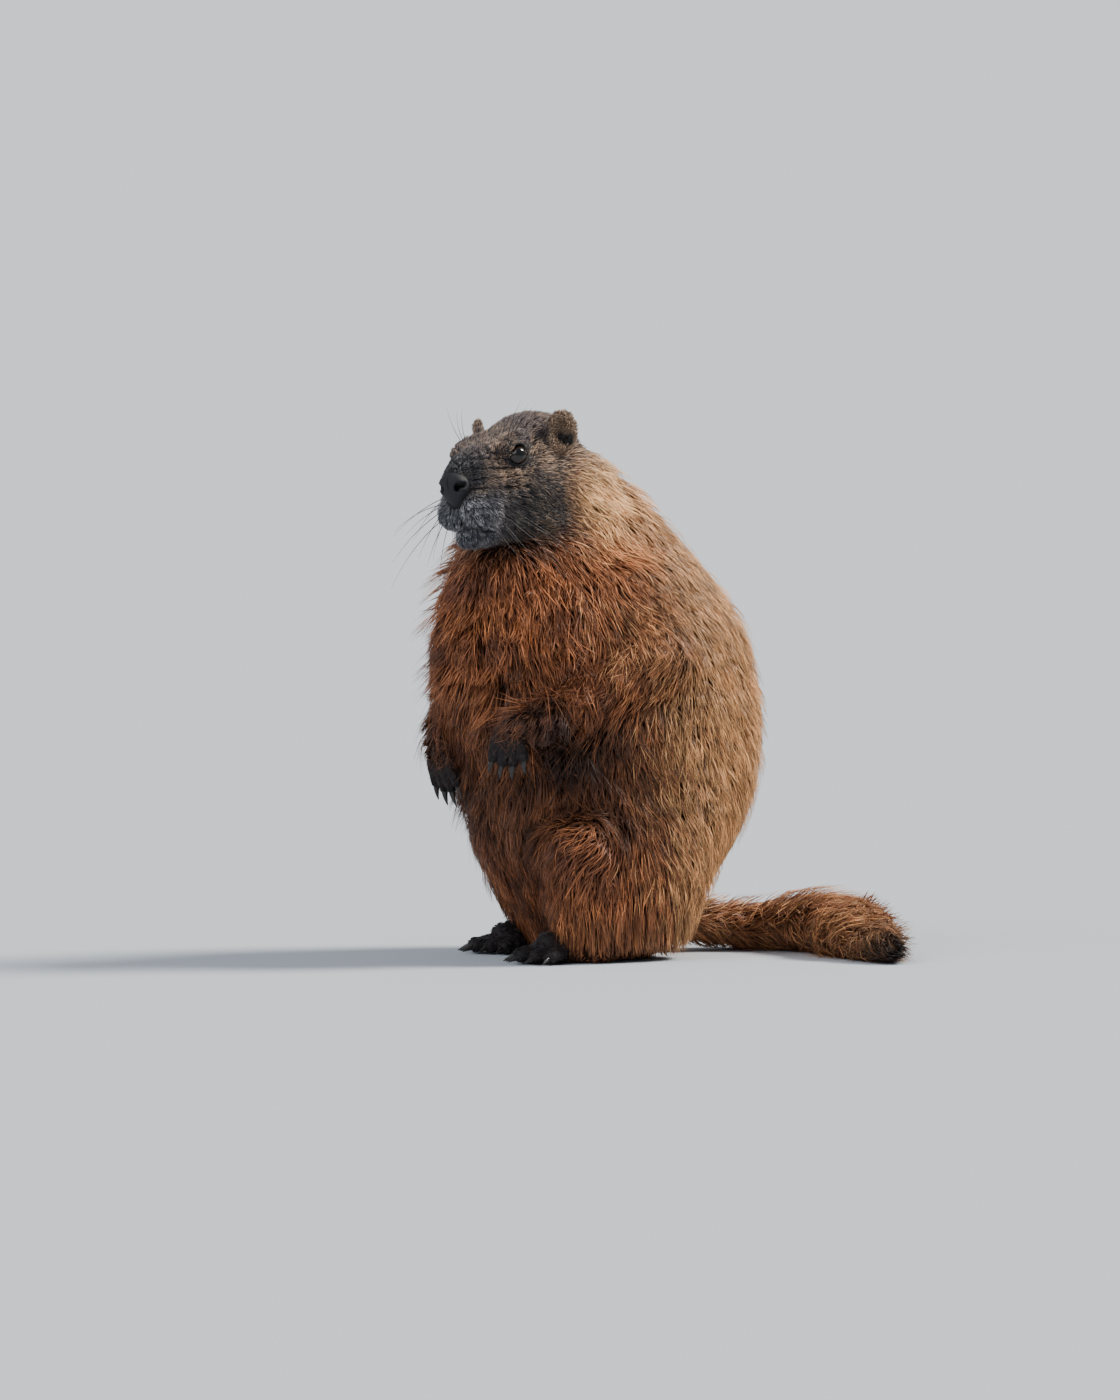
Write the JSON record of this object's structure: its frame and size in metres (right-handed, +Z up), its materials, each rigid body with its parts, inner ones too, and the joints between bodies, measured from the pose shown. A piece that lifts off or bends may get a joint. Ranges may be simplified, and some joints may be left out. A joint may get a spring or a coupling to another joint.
{
  "type": "yellow-bellied marmot, life-size model",
  "caption": "Life-size marmot standing up on its hind feet with hanging forepaws, shaggy coat and bushy tail; rests on a floor as a display figure.",
  "frame": {"origin": "on the floor, below the middle of the figure's box", "axes": "+X to the animal's left, +Y to its back, +Z up; it faces -Y"},
  "size_m": [0.2702, 0.2928, 0.3397],
  "materials": {
    "rust_coat": "matte, shaggy fur",
    "buff_coat": "matte, long fur",
    "face_coat": "matte, short fur",
    "tail_coat": "matte, bushy fur",
    "paw_skin": "matte, short fur over skin",
    "nose_skin": "moist, satin",
    "claw_horn": "satin horn",
    "eye_gloss": "polished"
  },
  "bodies": {
    "root": {"head": "face_coat", "neck": "buff_coat", "torso": "rust_coat", "nose": "nose_skin", "tail_root": "tail_coat", "tail_brush": "tail_coat", "eye_left": "eye_gloss", "ear_left": "face_coat", "upper_arm_left": "rust_coat", "forearm_left": "rust_coat", "forepaw_left": "paw_skin", "thigh_left": "rust_coat", "shank_left": "rust_coat", "hind_foot_left": "paw_skin", "foreclaw_left_1": "claw_horn", "foreclaw_left_2": "claw_horn", "foreclaw_left_3": "claw_horn", "foreclaw_left_4": "claw_horn", "hind_claw_left_1": "claw_horn", "hind_claw_left_2": "claw_horn", "hind_claw_left_3": "claw_horn", "hind_claw_left_4": "claw_horn", "hind_claw_left_5": "claw_horn", "eye_right": "eye_gloss", "ear_right": "face_coat", "upper_arm_right": "rust_coat", "forearm_right": "rust_coat", "forepaw_right": "paw_skin", "thigh_right": "rust_coat", "shank_right": "rust_coat", "hind_foot_right": "paw_skin", "foreclaw_right_1": "claw_horn", "foreclaw_right_2": "claw_horn", "foreclaw_right_3": "claw_horn", "foreclaw_right_4": "claw_horn", "hind_claw_right_1": "claw_horn", "hind_claw_right_2": "claw_horn", "hind_claw_right_3": "claw_horn", "hind_claw_right_4": "claw_horn", "hind_claw_right_5": "claw_horn"}
  },
  "joints": []
}
